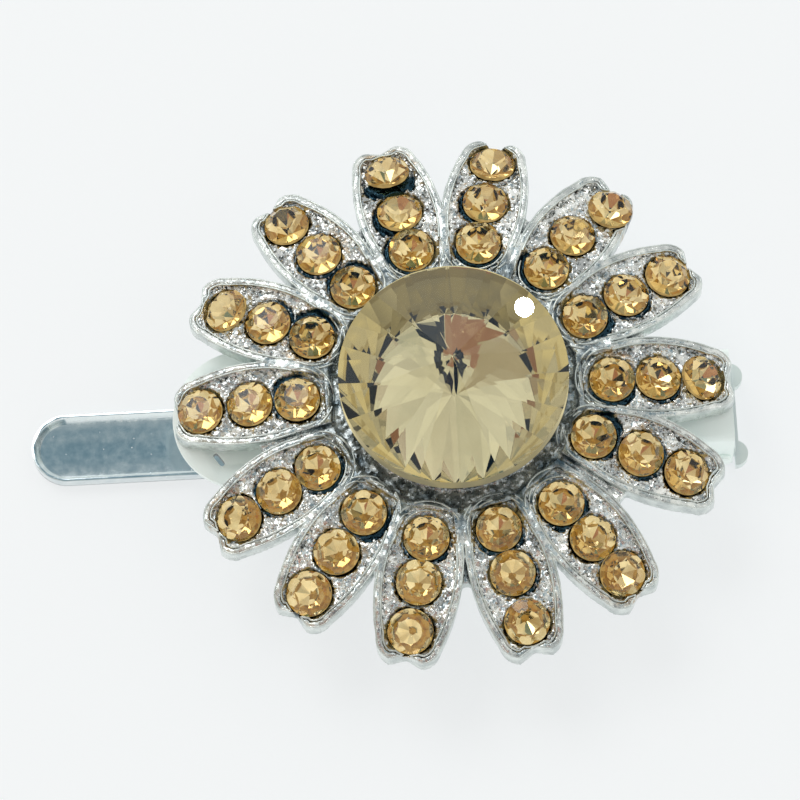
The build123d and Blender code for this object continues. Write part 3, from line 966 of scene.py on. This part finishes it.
def collarPaths():
    # arcs that lie on the casting round each inner stone, broken here and there
    bm = mergedCopy("flower_casting")
    tree = BVHTree.FromBMesh(bm)
    bm.free()
    paths = []
    for seat in stoneSeats[::3]:
        middle = seat.translation
        inward = atan2(-middle.y, -middle.x)
        for radius, half in zip(ridges["collars"], ridges["collarHalf"]):
            path = []
            for degree in range(-half, half + 1, ridges["collarStep"]):
                a = inward + radians(degree)
                waver = noise.noise(Vector((middle.x, middle.y, a * mm)) / (0.9 * mm))
                reach = radius + ridges["waver"] * waver
                start = Vector((middle.x + reach * cos(a), middle.y + reach * sin(a), 20 * mm))
                hit, normal, index, distance = tree.ray_cast(start, Vector((0, 0, -1)))
                broken = noise.noise(start / (1.1 * mm)) > ridges["broken"]
                onWall = hit is None or normal.z < 0.3
                if onWall or seatDistance(hit)[0] < casting["seatEdge"] or broken:
                    paths.append(path)
                    path = []
                    continue
                path.append(hit + normal * ridges["collarLift"])
            paths.append(path)
    return [path for path in paths if len(path) > 3]


def makeRidges():
    paths = [evenPoints(path, ridges["step"]) for path in edgePaths()] + collarPaths()
    paths = [path for path in paths if len(path) > 3]
    curve = bpy.data.curves.new("petal_ridges", "CURVE")
    curve.dimensions = "3D"
    curve.bevel_depth = ridges["radius"]
    curve.bevel_resolution = 1
    curve.use_fill_caps = True
    for path in paths:
        spline = curve.splines.new("POLY")
        spline.points.add(len(path) - 1)
        for point, spot in zip(spline.points, path):
            inward = Vector((-spot.x, -spot.y, 0)).normalized() * ridges["inset"]
            point.co = (*(spot + inward), 1)
            point.radius = 1 + ridges["thickness"] * noise.noise(spot / (0.7 * mm))
    wire = bpy.data.objects.new("petal_ridges", curve)
    bpy.context.scene.collection.objects.link(wire)
    mesh = bpy.data.meshes.new_from_object(wire)
    bpy.data.objects.remove(wire)
    piece = bpy.data.objects.new("petal_ridges", mesh)
    bpy.context.scene.collection.objects.link(piece)
    mesh.materials.clear()
    mesh.materials.append(ridgeSilver)
    mesh.polygons.foreach_set("use_smooth", [True] * len(mesh.polygons))
    place(piece, flowerSide, "cast_metal")
    print("ridges:", len(paths), "faces:", len(mesh.polygons))


makeRidges()


# Blocky grains of the casting on the petals' floors

grains = {
    "tries": 26000,
    "apart": 0.30 * mm,
    "size": (0.10 * mm, 0.17 * mm),
    "flat": 0.75,
    "clear": 0.08 * mm,  # no grains nearer to a seat
    "from": 9.2 * mm,
    "to": 20.0 * mm,
    "depth": (0.25 * mm, 0.5 * mm),  # of the petals' floors below their rims
    "stretch": (0.7, 1.3),
    "lean": 0.45,
}


def makeGrains():
    random.seed(11)
    g = grains
    bm = mergedCopy("flower_casting")
    tree = BVHTree.FromBMesh(bm)
    bm.free()
    taken = {}
    spots = []
    for attempt in range(g["tries"]):
        r = sqrt(random.uniform(g["from"]**2, g["to"]**2))
        a = random.uniform(0, 2 * pi)
        start = Vector((r * cos(a), r * sin(a), 20 * mm))
        hit, normal, index, distance = tree.ray_cast(start, Vector((0, 0, -1)))
        if hit is None or normal.z < 0.7:
            continue
        sunk = domeHeight(r) - hit.z
        away, number = seatDistance(hit)
        onFloor = g["depth"][0] < sunk < g["depth"][1]
        if not onFloor or away < seatEdge(number, hit) + g["clear"]:
            continue
        cell = (int(hit.x / g["apart"]), int(hit.y / g["apart"]))
        near = [
            p for i in (-1, 0, 1) for j in (-1, 0, 1)
            for p in taken.get((cell[0] + i, cell[1] + j), ())
        ]
        if any((p - hit).length < g["apart"] for p in near):
            continue
        taken.setdefault(cell, []).append(hit)
        spots.append((hit, normal))
    pattern = bmesh.new()
    bmesh.ops.create_cube(pattern, size=1.6)
    bmesh.ops.bevel(
        pattern, geom=pattern.edges[:], offset=0.35, offset_type="OFFSET", segments=1, profile=0.5,
        affect="EDGES", material=-1,
    )
    shape = bpy.data.meshes.new("grain")
    pattern.to_mesh(shape)
    pattern.free()
    bm = bmesh.new()
    for spot, normal in spots:
        size = random.uniform(*g["size"])
        scale = Matrix.Diagonal((size, size * random.uniform(*g["stretch"]), size * g["flat"], 1))
        turn = Matrix.Rotation(random.uniform(0, pi), 4, "Z")
        lean = Matrix.Rotation(random.uniform(-g["lean"], g["lean"]), 4, "X")
        stand = normal.to_track_quat("Z", "Y").to_matrix().to_4x4()
        before = len(bm.verts)
        bm.from_mesh(shape)
        bm.verts.ensure_lookup_table()
        seat = Matrix.Translation(spot) @ stand @ turn @ lean @ scale
        bmesh.ops.transform(bm, matrix=seat, verts=bm.verts[before:])
    piece = objectFrom(bm, "petal_grains", [grainSilver])
    place(piece, flowerSide, "cast_metal")
    print("grains:", len(spots), "faces:", len(piece.data.polygons))


makeGrains()


# Sheet metal and pin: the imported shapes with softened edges

sheetEdges = {
    "sharp": 35.0,  # least angle, in degrees, of an edge that is softened
    "flat": 1.0,  # triangles that meet at less than this are one face
    "clip_plate": 0.07 * mm,
    "clip_blade": 0.07 * mm,
    "clip_pin": 0.05 * mm,
    "clip_spring": 0.01 * mm,
}


def softened(nodeName, pieceName, material, slot, body):
    bm = mergedCopy(nodeName)
    bmesh.ops.dissolve_limit(
        bm, angle_limit=radians(sheetEdges["flat"]), use_dissolve_boundaries=False,
        verts=bm.verts[:], edges=bm.edges[:],
    )
    sharp = [
        edge for edge in bm.edges
        if len(edge.link_faces) == 2 and edge.calc_face_angle() > radians(sheetEdges["sharp"])
    ]
    bmesh.ops.bevel(
        bm, geom=sharp, offset=sheetEdges[pieceName], offset_type="OFFSET", segments=2, profile=0.5,
        affect="EDGES", clamp_overlap=True, material=-1,
    )
    piece = objectFrom(bm, pieceName, [material])
    piece.data.polygons.foreach_set("use_smooth", [True] * len(piece.data.polygons))
    place(piece, body, slot, nodeName)


softened("back_plate", "clip_plate", plateSteel, "clip_steel", flowerSide)
softened("blade", "clip_blade", bladeSteel, "clip_steel", bladeSide)
softened("hinge_pin", "clip_pin", plateSteel, "clip_steel", flowerSide)
softened("spring", "clip_spring", springSteel, "spring_steel", bladeSide)
print("clip made")
